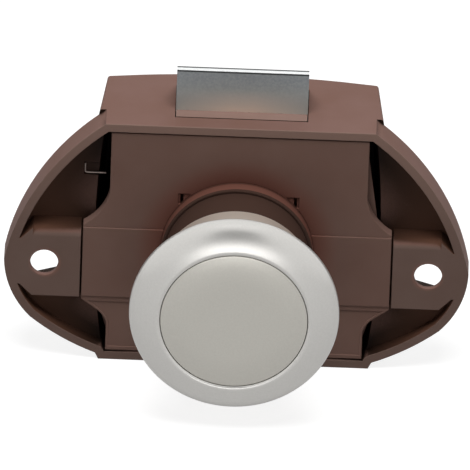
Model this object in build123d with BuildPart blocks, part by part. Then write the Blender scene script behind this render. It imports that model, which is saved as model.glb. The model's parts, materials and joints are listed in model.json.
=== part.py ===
"""Push button cabinet lock: a housing screwed behind a door, a button through the door, and a spring bolt.

Millimetres. The origin is on the button's axis at the mounting face, which lies on the door's inner side.
+X is to the right seen from the button, +Y goes into the cabinet and +Z is the way the bolt comes out.
The lock is drawn locked: the button is pressed home and the bolt stands out of the top face.
"""

import math
import os

from build123d import *

# Clearances
RUNNING_FIT = 0.1  # radial, between round pieces that slide on each other
SLIDE_GAP = 0.12  # between flat pieces that slide past each other
SEAM = 0.2  # visible joint line between two mouldings
CLEAR = 0.3  # free air between pieces that never touch
OVERRUN = 6.0  # how far a cut runs past the surface it opens

# Housing
BACKSET = 22.5  # button axis to top face
AXIS_TO_BOTTOM = 21.1
HALF_WIDTH = 38.2
FOOT_STEP = 1.1
WING_DEPTH = 5.2
BOX_DEPTH = 19.55  # at the middle of the crowned back
WALL = 1.45
BACK_WALL = 4.2  # at the middle of the crowned back
BACK_CROWN = 2.65  # how far the back falls off towards each side
WING_FLOOR = 0.9
LOWER_POCKET = 2.6  # depth of the pockets below the lugs
OUTLINE_TOP_TAPER = 2.8  # how much narrower the front outline is at the top than the box
BOX_SIDE = 24.9  # half width of the box behind the wings
BOX_WIDEST_Z = 1.0
BOX_DRAFT = 1.2  # how much each side of the box leans in towards the back
BOX_TOP_TAPER = 1.7  # how much narrower the box is at the top than at its widest
BOX_FOOT_TAPER = 2.7
BOX_FOOT_RUN = 1.1  # slanted corner between each side and the foot
BOX_FOOT_RISE = 2.15
BOX_EDGE_ROUND = 0.5

# Points of the outline, as shares of the half width and of the height above or below the axis
shoulder_share = (0.799, 0.627)
flank_share = (0.998, -0.150)
belly_share = (0.955, -0.458)
chin_share = (0.880, -0.648)
jaw_share = (0.757, -0.805)

# Screw lugs in the wings. Shares are of the way from the groove beside the band to the wing's tip.
GROOVE_OFFSET = 0.7  # groove to the side of the box
BAND_GAP = 0.3  # width of the groove
LUG_TOP = 2.9
LUG_BOTTOM = -9.7
LUG_ROUND = 1.5
LUG_TAIL = 2.0  # how far each pocket's point runs down beside the lug
lug_tail_share = 0.625
hole_share = 0.46875
HOLE_Z = -3.5
HOLE_R = 2.3
LUG_PLATE = 1.0  # thickness left at the screw hole
relief_share = 0.578125  # width of the relief behind the hole
LUG_RELIEF_RISE = 4.6
LUG_RELIEF_SLANT = 1.05
LUG_RELIEF_DROP = 1.7  # below the hole

# Slot in the left upper pocket, with the end of a wire spring in it
WIRE_SLOT_Z = 10.9
WIRE_SLOT_HEIGHT = 2.3
WIRE_SLOT_WIDTH = 2.0
WIRE_SLOT_DEPTH = 0.6
SLOT_WIRE_R = 0.15
SLOT_WIRE_RISE = 1.65
SLOT_WIRE_BEND_R = 0.35

# Front cover
PLATE = 2.2
PLATE_INSET = 0.2  # the upper and lower fields lie this much behind the mounting face
PLATE_SIDE = 3.8  # plate's side to the side of the box
COVER_SKIRT = 1.2
COVER_SKIRT_INSET = 2.0  # outline to the skirt
BAND_TOP = 3.75
BAND_BOTTOM = -10.1
BAND_FACE_TOP = 3.3
BAND_FACE_BOTTOM = -9.5
SWEEP_HEIGHT = 6.2  # height of the curve that runs from the plate's side out to the band
SWEEP_BULGE = 0.62
SWEEP_UNDER = 4.3
slope_fall_share = 0.45  # of the height of the slope and curve under the band
slope_run_share = 0.62  # of their width
FIELD_SIDE_MARGIN = 0.45  # border round the lower field
FIELD_TOP_MARGIN = 1.0
FIELD_BOTTOM_MARGIN = 0.75
FIELD_DEPTH = 0.15
NOTCH_WIDTH = 1.9
NOTCH_HEIGHT = 1.8
notch_share = (0.712, 0.728)  # of the ring's radius
NOTCH_DEPTH = 1.1
NOTCH_GAP = 0.45  # opening beside the tab
NOTCH_GAP_INSET = 0.35  # window's outer end to the opening
NOTCH_TAB_INSET = 0.35

# Collar on the front cover
RING_R = 12.5
RING_LENGTH = 2.5
RING_ROUND = 0.35
COLLAR_R = 11.9
COLLAR_BORE_R = 10.6
RIDGE = 0.12
RIDGE_PITCH = 1.0
RIDGES = 3

# Rosette, with its sleeve in the door's hole
PANEL = 20.8  # door thickness as drawn
SLEEVE_R = 12.8
SLEEVE_LENGTH = 10.5
ROSETTE_R = 17.15
ROSETTE_HEIGHT = 3.95
ROSETTE_EDGE = 0.6
ROSETTE_LIP = 0.35  # flat of the shoulder next to the button
ROSETTE_LIP_ROUND = 0.2
shoulder_mid_share = (0.474, 0.190)  # of the shoulder's width and height
shoulder_end_share = (0.876, 0.595)
ROSETTE_EDGE_ROUND = 0.3

# Button
BUTTON_R = 12.0
BUTTON_TRAVEL = 8.5
OVER_PRESS = 0.8
BUTTON_SKIRT = 1.0
BUTTON_SKIRT_LENGTH = 10.3
BUTTON_FACE = 1.8
BUTTON_CROWN = 0.2  # how far the face stands proud of the rosette
BUTTON_FALL = 0.5  # how much lower the rim is than the middle
BUTTON_FLAT_R = 7.5
BUTTON_CHAMFER = 0.3

# Button core and plunger shaft
NECK_WALL = 1.7
NECK_FLANGE = 2.0
SNAP_LENGTH = 2.5
CORE_WEB = 1.5
SHAFT_R = 5.5
SHAFT_STEP = 0.6
SHAFT_FRONT = -14.0
SHAFT_END = 3.5
SPRING_BORE_R = 3.0
CORE_SCREW_R = 1.25
CORE_SCREW_GRIP = 2.8
CORE_SCREW_HEAD_R = 2.4
CORE_SCREW_HEAD = 1.4
PIN_R = 1.2
PIN_END = 1.9  # pin axis to the shaft's rear end
PIN_LENGTH = 3.6

# Button spring, its peg and its washer
BUTTON_COIL_R = 2.35
BUTTON_WIRE_R = 0.3
BUTTON_TURNS = 12
STEPS_PER_TURN = 72  # points on a turn where the gap is measured
PEG_R = 1.6
PEG_LENGTH = 9.0
WASHER_R = 2.75
WASHER = 0.4

# Bolt and its window
CARRIER_WEB = 1.78  # height of the carrier's strip below the top face
STRIP_GAP = 0.3  # seam between the strip and the front of the window
WINDOW_HALF_WIDTH = 10.9
WINDOW_LIP = 3.4
BACK_LEDGE = 0.6
STRIP = 2.4  # plastic in front of the steel bolt
STEEL = 1.2
STEEL_HALF_WIDTH = 10.8
NOSE_INSET = 0.2
BOLT_CREST = 1.3
RAMP_FOOT = 0.6  # height of the ramp's foot above the top face
EAR_LENGTH = 9.0
BRIDGE = 0.9  # plastic under the steel's front, which ties the strip to the nose

# Retractor slide
CHEEK = 2.6
CHEEK_FLOOR = 0.9
CHEEK_BACK_GAP = 0.15
CHEEK_TOP_MARGIN = 1.2
SPRING_BAY = 4.9  # width beside the bolt's window where each bolt spring stands
BAR_TOP = -8.0
BAR = 3.0
BAR_FRONT = 4.4

# Bolt carrier
LUG_LEG_GAP = 0.3
CARRIER_LUG = 3.0
CARRIER_LUG_Z = 5.0
CARRIER_LUG_FRONT = 6.0
CARRIER_LUG_BACK_GAP = 1.35  # to the back wall
RIVET_R = 0.6
RIVET_HEAD_R = 1.0
RIVET_HEAD = 0.5

# Bolt springs
BOLT_SPRING_INSET = 2.4  # spring axis to the end of the slide's bar
BOLT_COIL_R = 2.1
BOLT_WIRE_R = 0.25
BOLT_TURNS = 7
SPIGOT_R = 1.5
LOWER_SPIGOT = 3.0
UPPER_SPIGOT = 1.4

# Guides in the housing
GUIDE = 1.5
GUIDE_CLEAR = 1.2
RAIL = 0.7
RAIL_DEPTH = 6.3
RAIL_TOP = -0.5

# Push-push latch
LATCH_INSET = 1.7  # track's middle to the end of the slide's bar
TRACK_WIDTH = 5.0
TRACK_FRONT = 3.5
TRACK = 1.35
TRACK_TOP = 6.4
APRON = 0.8
LANE = 1.5
LANE_DEPTH = 1.0
lane_round_share = 0.333  # of the lanes' width together
TRACK_WALL = 0.35
TIP_Z = -3.4
FOLLOWER_R = 0.4
FOLLOWER_Y = 2.85
FOLLOWER_BEND = 0.9
FOLLOWER_BEND_R = 0.6
TIP_DEPTH = 0.5
PIVOT_Z = 12.6
PIVOT_LENGTH = 4.0
PIVOT_BOSS_R = 1.6
PIVOT_PLAY = 0.05
LEAF = 0.2
LEAF_WIDTH = 2.4
LEAF_LENGTH = 9.0
LEAF_PEG_R = 0.6
LEAF_PEG = 0.25

# Cover screws
SCREW_INSET = 5.9  # from the side of the box
SCREW_TOP_INSET = 5.1
SCREW_BOTTOM_INSET = 4.35
SCREW_R = 1.1
SCREW_LENGTH = 8.0
SCREW_HEAD_R = 2.0
SCREW_HEAD = 1.3
SCREW_SINK = 0.25  # head's seat in front of the back wall's inner side
SCREW_BOSS_R = 2.1
SCREW_TOWER_R = 3.0
SCREW_TOWER = 2.2
SCREW_SLOT = 0.6
SCREW_SLOT_DEPTH = 0.7
slot_share = 0.75  # length of the slot, of the head's width

# Worked out from the sizes above
TOP_HALF_WIDTH = BOX_SIDE - OUTLINE_TOP_TAPER
FOOT_HALF_WIDTH = BOX_SIDE - BOX_FOOT_TAPER
GROOVE_X = BOX_SIDE + GROOVE_OFFSET
LUG_WIDTH = HALF_WIDTH - GROOVE_X
LUG_TAIL_X = GROOVE_X + lug_tail_share * LUG_WIDTH
HOLE_X = GROOVE_X + hole_share * LUG_WIDTH
LUG_RELIEF = relief_share * LUG_WIDTH
PLATE_HALF_WIDTH = BOX_SIDE - PLATE_SIDE
NOTCH_X = RING_R * notch_share[0]
NOTCH_Z = RING_R * notch_share[1]
BAR_HALF_WIDTH = WINDOW_HALF_WIDTH + SPRING_BAY
BOLT_SPRING_X = BAR_HALF_WIDTH - BOLT_SPRING_INSET
LATCH_X = BAR_HALF_WIDTH - LATCH_INSET
SCREW_X = BOX_SIDE - SCREW_INSET
SCREW_TOP_Z = BACKSET - SCREW_TOP_INSET
SCREW_BOTTOM_Z = SCREW_BOTTOM_INSET - AXIS_TO_BOTTOM
POCKET = WING_DEPTH - WING_FLOOR
BACK_Y = BOX_DEPTH - BACK_WALL  # inner side of the back wall
INNER_TOP = BACKSET - WALL
INNER_BOTTOM = WALL - AXIS_TO_BOTTOM
COVER_TOP = INNER_TOP - SEAM
COVER_BOTTOM = INNER_BOTTOM + SEAM
BAND_HALF_WIDTH = GROOVE_X - BAND_GAP
CAVITY_SIDE = BOX_SIDE - WALL
SHAFT_REAR = BACK_Y - CLEAR - OVER_PRESS
SHAFT_NOSE_R = SHAFT_R - SHAFT_STEP
SPRING_BORE_FLOOR_Y = SHAFT_FRONT + SHAFT_END
CORE_SCREW_TIP = SHAFT_FRONT + CORE_SCREW_GRIP
WEB_FRONT = SHAFT_FRONT - CORE_WEB
PIN_Y = SHAFT_REAR - PIN_END
NECK_R = COLLAR_BORE_R - RUNNING_FIT
BORE_R = BUTTON_R + RUNNING_FIT
NECK_REAR = -OVER_PRESS - CLEAR
BUTTON_FRONT = -PANEL - ROSETTE_HEIGHT
CAP_FLOOR_Y = BUTTON_FRONT + BUTTON_FACE
SKIRT_END_Y = BUTTON_FRONT + BUTTON_SKIRT_LENGTH
COLLAR_END_Y = SKIRT_END_Y + OVER_PRESS + CLEAR
# The web of the carrier clears the shaft when the bolt is both retracted and slammed
BOLT_RISE = (BACKSET - CARRIER_WEB - SHAFT_R - CLEAR - SLIDE_GAP) / 2
RETRACT = BOLT_RISE + SLIDE_GAP
PULL_RATIO = RETRACT / BUTTON_TRAVEL
CARRIER_FRONT = WINDOW_LIP + STRIP_GAP
STEEL_FRONT = CARRIER_FRONT + STRIP
WINDOW_BACK = BACK_Y - BACK_LEDGE
STEEL_BACK = WINDOW_BACK - SLIDE_GAP
CARRIER_HALF_WIDTH = WINDOW_HALF_WIDTH - CLEAR / 2
WEB_BOTTOM = BACKSET - CARRIER_WEB
SHEET_END = WEB_BOTTOM + BRIDGE
BOLT_TOP = BACKSET + BOLT_RISE
EAR_BOTTOM = BACKSET - EAR_LENGTH
LEG_FRONT = STEEL_FRONT + STEEL
LEG_BACK = STEEL_BACK - STEEL
CHEEK_INNER = SHAFT_R + CLEAR
CHEEK_OUTER = CHEEK_INNER + CHEEK
LEG_INNER = CHEEK_OUTER + LUG_LEG_GAP
LEG_MID = (LEG_INNER + CARRIER_HALF_WIDTH) / 2
PIN_TIP_X = CHEEK_OUTER - CHEEK_FLOOR - CHEEK_BACK_GAP
CARRIER_LUG_DEPTH = BACK_Y - CARRIER_LUG_BACK_GAP - CARRIER_LUG_FRONT
BOLT_SPRING_Y = CARRIER_LUG_FRONT + CARRIER_LUG_DEPTH / 2
SPRING_SEAT_LOW = BAR_TOP
SPRING_SEAT_HIGH = CARRIER_LUG_Z
TRACK_BACK = TRACK_FRONT + TRACK
CARRIER_LUG_X = BAR_HALF_WIDTH
RAIL_X = BAR_HALF_WIDTH + SLIDE_GAP
GUIDE_X = WINDOW_HALF_WIDTH
GUIDE_BOTTOM = CARRIER_LUG_Z + CARRIER_LUG + GUIDE_CLEAR
TOWER_FRONT = BACK_Y - SCREW_TOWER
SCREW_SEAT_Y = BACK_Y - SCREW_SINK
SCREW_HEAD_Y = SCREW_SEAT_Y + SCREW_HEAD
WIRE_SLOT_X = CAVITY_SIDE + WIRE_SLOT_WIDTH


def depth_plane(depth):
    """Plane parallel to the mounting face, this deep in the lock, with X to the right and Z up."""
    return Plane.XZ.offset(-depth)


def share_point(share):
    """Point of the outline from its shares of the half width and of the height."""
    height = BACKSET if share[1] > 0 else AXIS_TO_BOTTOM
    return (share[0] * HALF_WIDTH, share[1] * height)


def lock_outline():
    """Front outline: flat top and foot, joined by three arcs on each side."""
    with BuildSketch() as outline:
        with BuildLine():
            top = Line((0, BACKSET), (TOP_HALF_WIDTH, BACKSET))
            flank = ThreePointArc(top @ 1, share_point(shoulder_share), share_point(flank_share))
            tip = ThreePointArc(flank @ 1, share_point(belly_share), share_point(chin_share))
            foot_side = (FOOT_HALF_WIDTH + FOOT_STEP / 2, FOOT_STEP - AXIS_TO_BOTTOM)
            jaw = ThreePointArc(tip @ 1, share_point(jaw_share), foot_side)
            step = Line(jaw @ 1, (FOOT_HALF_WIDTH, -AXIS_TO_BOTTOM))
            Line(step @ 1, (0, -AXIS_TO_BOTTOM))
            mirror(about=Plane.YZ)
        make_face()
    return outline.sketch


def lug_outlines():
    """Both screw lugs, a little wider than the outline, with the pockets' points beside them."""
    tip_x = LUG_TAIL_X + LUG_TAIL
    with BuildSketch() as lugs:
        with BuildLine():
            Polyline(
                (GROOVE_X, LUG_BOTTOM),
                (GROOVE_X, LUG_TOP),
                (LUG_TAIL_X, LUG_TOP),
                (tip_x, LUG_TOP - LUG_TAIL),
                (HALF_WIDTH + LUG_TAIL, LUG_TOP - LUG_TAIL),
                (HALF_WIDTH + LUG_TAIL, LUG_BOTTOM + LUG_TAIL),
                (tip_x, LUG_BOTTOM + LUG_TAIL),
                (LUG_TAIL_X, LUG_BOTTOM),
                close=True,
            )
        make_face()
        mirror(about=Plane.YZ)
    return lugs.sketch


def box_section(lean):
    """Section of the box behind the wings, with bowed sides that are moved in by the lean."""
    top_x = BOX_SIDE - BOX_TOP_TAPER - lean
    foot_x = FOOT_HALF_WIDTH - lean
    with BuildSketch() as section:
        with BuildLine():
            top = Line((0, BACKSET), (top_x, BACKSET))
            side = ThreePointArc(
                top @ 1,
                (BOX_SIDE - lean, BOX_WIDEST_Z),
                (foot_x + BOX_FOOT_RUN, BOX_FOOT_RISE - AXIS_TO_BOTTOM),
            )
            foot = Line(side @ 1, (foot_x, -AXIS_TO_BOTTOM))
            Line(foot @ 1, (0, -AXIS_TO_BOTTOM))
            mirror(about=Plane.YZ)
        make_face()
    return section.sketch


def cavity_section(lean):
    """Section of the space inside the box, one wall in from the outside."""
    with BuildSketch() as section:
        add(box_section(lean))
        offset(amount=-WALL, kind=Kind.INTERSECTION)
    return section.sketch


def cover_outline():
    """Front cover: a tall plate crossed by the wider band that reaches the screw lugs."""
    reach = BAND_HALF_WIDTH - PLATE_HALF_WIDTH
    with BuildSketch() as outline:
        with BuildLine():
            top = Line((0, COVER_TOP), (PLATE_HALF_WIDTH, COVER_TOP))
            side = Line(top @ 1, (PLATE_HALF_WIDTH, BAND_TOP + SWEEP_HEIGHT))
            sweep_mid = (
                PLATE_HALF_WIDTH + reach * (1 - SWEEP_BULGE),
                BAND_TOP + SWEEP_HEIGHT * (1 - SWEEP_BULGE),
            )
            curve = ThreePointArc(side @ 1, sweep_mid, (BAND_HALF_WIDTH, BAND_TOP))
            end = Line(curve @ 1, (BAND_HALF_WIDTH, BAND_BOTTOM))
            slope_foot = (
                PLATE_HALF_WIDTH + reach * (1 - slope_run_share),
                BAND_BOTTOM - SWEEP_UNDER * slope_fall_share,
            )
            slope = Line(end @ 1, slope_foot)
            under = TangentArc(
                slope @ 1,
                (PLATE_HALF_WIDTH, BAND_BOTTOM - SWEEP_UNDER),
                tangent=slope % 1,
            )
            lower = Line(under @ 1, (PLATE_HALF_WIDTH, COVER_BOTTOM))
            Line(lower @ 1, (0, COVER_BOTTOM))
            mirror(about=Plane.YZ)
        make_face()
    return outline.sketch


def screw_places():
    """The four cover screws, seen from the front."""
    return [
        (x, z)
        for x in (-SCREW_X, SCREW_X)
        for z in (SCREW_BOTTOM_Z, SCREW_TOP_Z)
    ]


def rivet_places():
    """The bolt's two rivets, seen from the front."""
    height = (EAR_BOTTOM + WEB_BOTTOM) / 2
    return [(-LEG_MID, height), (LEG_MID, height)]


def coil(seat, radius, length, turns):
    """Edges of a compression spring along the seat's normal: half turns of the helix as pairs of arcs."""
    pitch = length / turns
    slope = pitch / (2 * math.pi)
    half_turns = turns * 2

    def place(step):
        angle = step * math.pi
        return Vector(radius * math.cos(angle), radius * math.sin(angle), slope * angle)

    def heading(step):
        angle = step * math.pi
        return Vector(-radius * math.sin(angle), radius * math.cos(angle), slope).normalized()

    edges = []
    for step in range(half_turns):
        start, end = place(step), place(step + 1)
        out, into = heading(step), heading(step + 1)
        span = end - start
        both = out + into
        spread = 2 - 2 * out.dot(into)
        run = span.dot(both)
        reach = (math.sqrt(run * run + spread * span.dot(span)) - run) / spread
        before = start + out * reach
        after = end - into * reach
        middle = (before + after) * 0.5
        edges.append(Edge.make_tangent_arc(start, out, middle))
        edges.append(Edge.make_tangent_arc(middle, (after - before).normalized(), end))
    return [edge.moved(seat.location) for edge in edges]


def coil_gap(radius, length, turns, wire_r):
    """Least gap between one turn of the wire and the next, measured on points of the helix."""
    pitch = length / turns
    least = length
    for step in range(STEPS_PER_TURN):
        turn = 0.5 + step / STEPS_PER_TURN
        chord = 2 * radius * math.sin(math.pi * turn)
        least = min(least, math.hypot(chord, pitch * turn))
    return least - 2 * wire_r


with BuildPart() as housing:
    with BuildSketch(depth_plane(0)):
        add(lock_outline())
    extrude(amount=-WING_DEPTH)
    with BuildSketch(depth_plane(WING_DEPTH)):
        add(box_section(0))
    with BuildSketch(depth_plane(BOX_DEPTH)):
        add(box_section(BOX_DRAFT))
    loft(ruled=True)
    # Crowned back
    with BuildSketch(Plane.XY.offset(-AXIS_TO_BOTTOM)):
        with BuildLine():
            crown = ThreePointArc(
                (-BOX_SIDE, BOX_DEPTH - BACK_CROWN),
                (0, BOX_DEPTH),
                (BOX_SIDE, BOX_DEPTH - BACK_CROWN),
            )
            Polyline(
                crown @ 1,
                (BOX_SIDE, BOX_DEPTH + OVERRUN),
                (-BOX_SIDE, BOX_DEPTH + OVERRUN),
                crown @ 0,
            )
        make_face()
    extrude(amount=AXIS_TO_BOTTOM + BACKSET, mode=Mode.SUBTRACT)
    rear_face = housing.faces().sort_by(Axis.Y)[-1]
    top_corners = housing.edges().filter_by(
        lambda edge: edge.center().Z > BACKSET - SEAM
        and abs(edge.center().X) > PLATE_HALF_WIDTH
        and edge.length > 2 * WING_DEPTH
    )
    fillet(rear_face.edges() + top_corners, radius=BOX_EDGE_ROUND)
    # Everything inside the rim opens to the front, except the two lugs
    with BuildSketch(depth_plane(0)):
        add(lock_outline())
        offset(amount=-WALL)
        add(lug_outlines(), mode=Mode.SUBTRACT)
    extrude(amount=-POCKET, mode=Mode.SUBTRACT)
    with BuildSketch(depth_plane(POCKET)):
        add(cavity_section(0))
    with BuildSketch(depth_plane(BACK_Y)):
        add(cavity_section(BOX_DRAFT))
    loft(ruled=True, mode=Mode.SUBTRACT)
    # The pockets below the lugs are shallower
    with BuildSketch(depth_plane(LOWER_POCKET)):
        add(lock_outline())
        offset(amount=-WALL / 2)
        with Locations((0, LUG_BOTTOM + LUG_TAIL)):
            Rectangle(
                2 * HALF_WIDTH,
                AXIS_TO_BOTTOM,
                align=(Align.CENTER, Align.MAX),
                mode=Mode.INTERSECT,
            )
        add(cavity_section(0), mode=Mode.SUBTRACT)
        offset(cover_outline(), amount=SEAM, mode=Mode.SUBTRACT)
    extrude(amount=LOWER_POCKET - POCKET - WING_FLOOR / 2)
    # Rounded upper edge of each lug, along the pocket
    for side in (1, -1):
        with BuildSketch(Plane.YZ.offset(side * GROOVE_X)):
            with Locations((0, LUG_TOP - LUG_ROUND)):
                Rectangle(LUG_ROUND, LUG_ROUND, align=(Align.MIN, Align.MIN))
            with Locations((LUG_ROUND, LUG_TOP - LUG_ROUND)):
                Circle(LUG_ROUND, mode=Mode.SUBTRACT)
        extrude(amount=side * (LUG_TAIL_X - GROOVE_X), mode=Mode.SUBTRACT)
    # Screw holes, with the relief behind each lug
    with BuildSketch(depth_plane(0)):
        with Locations((HOLE_X, HOLE_Z), (-HOLE_X, HOLE_Z)):
            Circle(HOLE_R)
    extrude(amount=-WING_DEPTH, mode=Mode.SUBTRACT)
    relief_bottom = HOLE_Z - HOLE_R - LUG_RELIEF_DROP
    with BuildSketch(depth_plane(LUG_PLATE)):
        with BuildLine():
            Polyline(
                (HOLE_X - LUG_RELIEF / 2, relief_bottom + LUG_RELIEF_SLANT),
                (HOLE_X - LUG_RELIEF / 2, HOLE_Z + LUG_RELIEF_RISE),
                (HOLE_X + LUG_RELIEF / 2, HOLE_Z + LUG_RELIEF_RISE),
                (HOLE_X + LUG_RELIEF / 2, relief_bottom - LUG_RELIEF_SLANT),
                close=True,
            )
        make_face()
        mirror(about=Plane.YZ)
    extrude(amount=-WING_DEPTH, mode=Mode.SUBTRACT)
    # Slot of the wire spring, in the left upper pocket, open towards the box
    with BuildSketch(depth_plane(POCKET)):
        with Locations((-WIRE_SLOT_X, WIRE_SLOT_Z)):
            Rectangle(2 * WIRE_SLOT_WIDTH, WIRE_SLOT_HEIGHT, align=(Align.MIN, Align.MIN))
    extrude(amount=-WIRE_SLOT_DEPTH, mode=Mode.SUBTRACT)
    # Window for the bolt
    with BuildSketch(Plane.XY.offset(INNER_TOP - WALL)):
        with Locations((0, WINDOW_LIP)):
            Rectangle(
                2 * WINDOW_HALF_WIDTH,
                WINDOW_BACK - WINDOW_LIP,
                align=(Align.CENTER, Align.MIN),
            )
    extrude(amount=OVERRUN, mode=Mode.SUBTRACT)
    # Guides of the bolt carrier, hanging from the top wall
    with BuildSketch(depth_plane(WINDOW_LIP)):
        with Locations((GUIDE_X, GUIDE_BOTTOM)):
            Rectangle(GUIDE, BACKSET - WALL / 2 - GUIDE_BOTTOM, align=(Align.MIN, Align.MIN))
        mirror(about=Plane.YZ)
    extrude(amount=WINDOW_LIP - BACK_Y - WALL / 2)
    # Rails of the retractor slide, standing on the bottom wall
    with BuildSketch(depth_plane(BACK_Y - RAIL_DEPTH)):
        with Locations((RAIL_X, INNER_BOTTOM - WALL / 2)):
            Rectangle(RAIL, RAIL_TOP - INNER_BOTTOM + WALL / 2, align=(Align.MIN, Align.MIN))
        mirror(about=Plane.YZ)
    extrude(amount=-RAIL_DEPTH - WALL / 2)
    # Towers of the cover screws, the latch pivot's boss and the button spring's peg
    with BuildSketch(depth_plane(TOWER_FRONT)):
        with Locations(*screw_places()):
            Circle(SCREW_TOWER_R)
    extrude(amount=-SCREW_TOWER - WALL / 2)
    with BuildSketch(depth_plane(TRACK_FRONT)):
        with Locations((LATCH_X, PIVOT_Z)):
            Circle(PIVOT_BOSS_R)
            Circle(FOLLOWER_R + PIVOT_PLAY, mode=Mode.SUBTRACT)
    extrude(amount=TRACK_FRONT - BACK_Y - WALL / 2)
    with BuildSketch(depth_plane(BACK_Y - PEG_LENGTH)):
        Circle(PEG_R)
    extrude(amount=-PEG_LENGTH - WALL / 2)
    with BuildSketch(depth_plane(TOWER_FRONT)):
        with Locations(*screw_places()):
            Circle(SCREW_R + RUNNING_FIT)
    extrude(amount=-OVERRUN, mode=Mode.SUBTRACT)
    with BuildSketch(depth_plane(SCREW_SEAT_Y)):
        with Locations(*screw_places()):
            Circle(SCREW_HEAD_R + RUNNING_FIT)
    extrude(amount=-OVERRUN, mode=Mode.SUBTRACT)
housing.part.label = "housing"

with BuildPart() as front_cover:
    with BuildSketch(depth_plane(PLATE_INSET)):
        add(cover_outline())
    extrude(amount=PLATE_INSET - PLATE)
    skirt_inside = COVER_SKIRT_INSET + COVER_SKIRT
    with BuildSketch(depth_plane(PLATE_INSET)):
        add(cover_outline())
        offset(amount=-COVER_SKIRT_INSET)
        offset(cover_outline(), amount=-skirt_inside, mode=Mode.SUBTRACT)
        Rectangle(2 * (BAR_HALF_WIDTH + CLEAR), 2 * BACKSET, mode=Mode.SUBTRACT)
    extrude(amount=PLATE_INSET - POCKET)
    # The band is flush with the mounting face
    with BuildSketch(depth_plane(0)):
        add(cover_outline())
        with Locations((0, BAND_FACE_TOP)):
            Rectangle(
                2 * HALF_WIDTH,
                BAND_FACE_TOP - BAND_FACE_BOTTOM,
                align=(Align.CENTER, Align.MAX),
                mode=Mode.INTERSECT,
            )
    extrude(amount=-PLATE)
    # Lower field, sunk inside its border
    field_top = BAND_FACE_BOTTOM - FIELD_TOP_MARGIN
    with BuildSketch(depth_plane(PLATE_INSET)):
        add(cover_outline())
        offset(amount=-FIELD_SIDE_MARGIN)
        with Locations((0, field_top)):
            Rectangle(
                2 * HALF_WIDTH,
                field_top - COVER_BOTTOM - FIELD_BOTTOM_MARGIN,
                align=(Align.CENTER, Align.MAX),
                mode=Mode.INTERSECT,
            )
    extrude(amount=-FIELD_DEPTH, mode=Mode.SUBTRACT)
    # Collar
    with BuildSketch(Plane.XY):
        with BuildLine():
            Polyline(
                (COLLAR_BORE_R, PLATE),
                (COLLAR_BORE_R, COLLAR_END_Y),
                (COLLAR_R, COLLAR_END_Y),
                (COLLAR_R, -RING_LENGTH),
                (RING_R, -RING_LENGTH),
                (RING_R, PLATE),
                close=True,
            )
        make_face()
    revolve(axis=Axis.Y)
    ring_edge = front_cover.edges().filter_by(GeomType.CIRCLE).filter_by(
        lambda edge: abs(edge.radius - RING_R) < SEAM and edge.center().Y < -RING_LENGTH / 2
    )
    fillet(ring_edge, radius=RING_ROUND)
    for ridge in range(RIDGES):
        ridge_y = COLLAR_END_Y + RIDGE_PITCH / 2 + RIDGE_PITCH * ridge
        with BuildSketch(Plane.XY):
            with BuildLine():
                Polyline(
                    (COLLAR_R - RIDGE, ridge_y - RIDGE),
                    (COLLAR_R + RIDGE, ridge_y - RIDGE),
                    (COLLAR_R + RIDGE, ridge_y),
                    (COLLAR_R - RIDGE, ridge_y + 2 * RIDGE),
                    close=True,
                )
            make_face()
        revolve(axis=Axis.Y)
    # Inside the collar the bore is open down to the web, which guides the shaft
    with BuildSketch(depth_plane(COLLAR_END_Y)):
        Circle(COLLAR_BORE_R)
    extrude(amount=COLLAR_END_Y, mode=Mode.SUBTRACT)
    with BuildSketch(depth_plane(0)):
        Circle(SHAFT_R + RUNNING_FIT)
    extrude(amount=-PLATE, mode=Mode.SUBTRACT)
    # Snap windows beside the collar, each with a sunk tab and an opening beside it
    gap_middle = NOTCH_X + (NOTCH_WIDTH - NOTCH_GAP) / 2 - NOTCH_GAP_INSET
    for notch_middle, width, depth in (
        (NOTCH_X, NOTCH_WIDTH, NOTCH_TAB_INSET),
        (gap_middle, NOTCH_GAP, NOTCH_DEPTH),
    ):
        with BuildSketch(depth_plane(0)):
            with Locations((notch_middle, NOTCH_Z), (-notch_middle, NOTCH_Z)):
                Rectangle(width, NOTCH_HEIGHT)
            Circle(RING_R, mode=Mode.SUBTRACT)
        extrude(amount=-depth, mode=Mode.SUBTRACT)
    # Bosses for the four screws
    with BuildSketch(depth_plane(PLATE)):
        with Locations(*screw_places()):
            Circle(SCREW_BOSS_R)
    extrude(amount=PLATE - TOWER_FRONT)
    with BuildSketch(depth_plane(TOWER_FRONT)):
        with Locations(*screw_places()):
            Circle(SCREW_R)
    extrude(amount=SCREW_LENGTH, mode=Mode.SUBTRACT)
    # Peg of the latch's leaf spring
    with BuildSketch(depth_plane(PLATE)):
        with Locations((LATCH_X, PIVOT_Z - FOLLOWER_BEND - LEAF_WIDTH / 2)):
            Circle(LEAF_PEG_R)
    extrude(amount=-LEAF_PEG)
front_cover.part.label = "front_cover"

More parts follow.
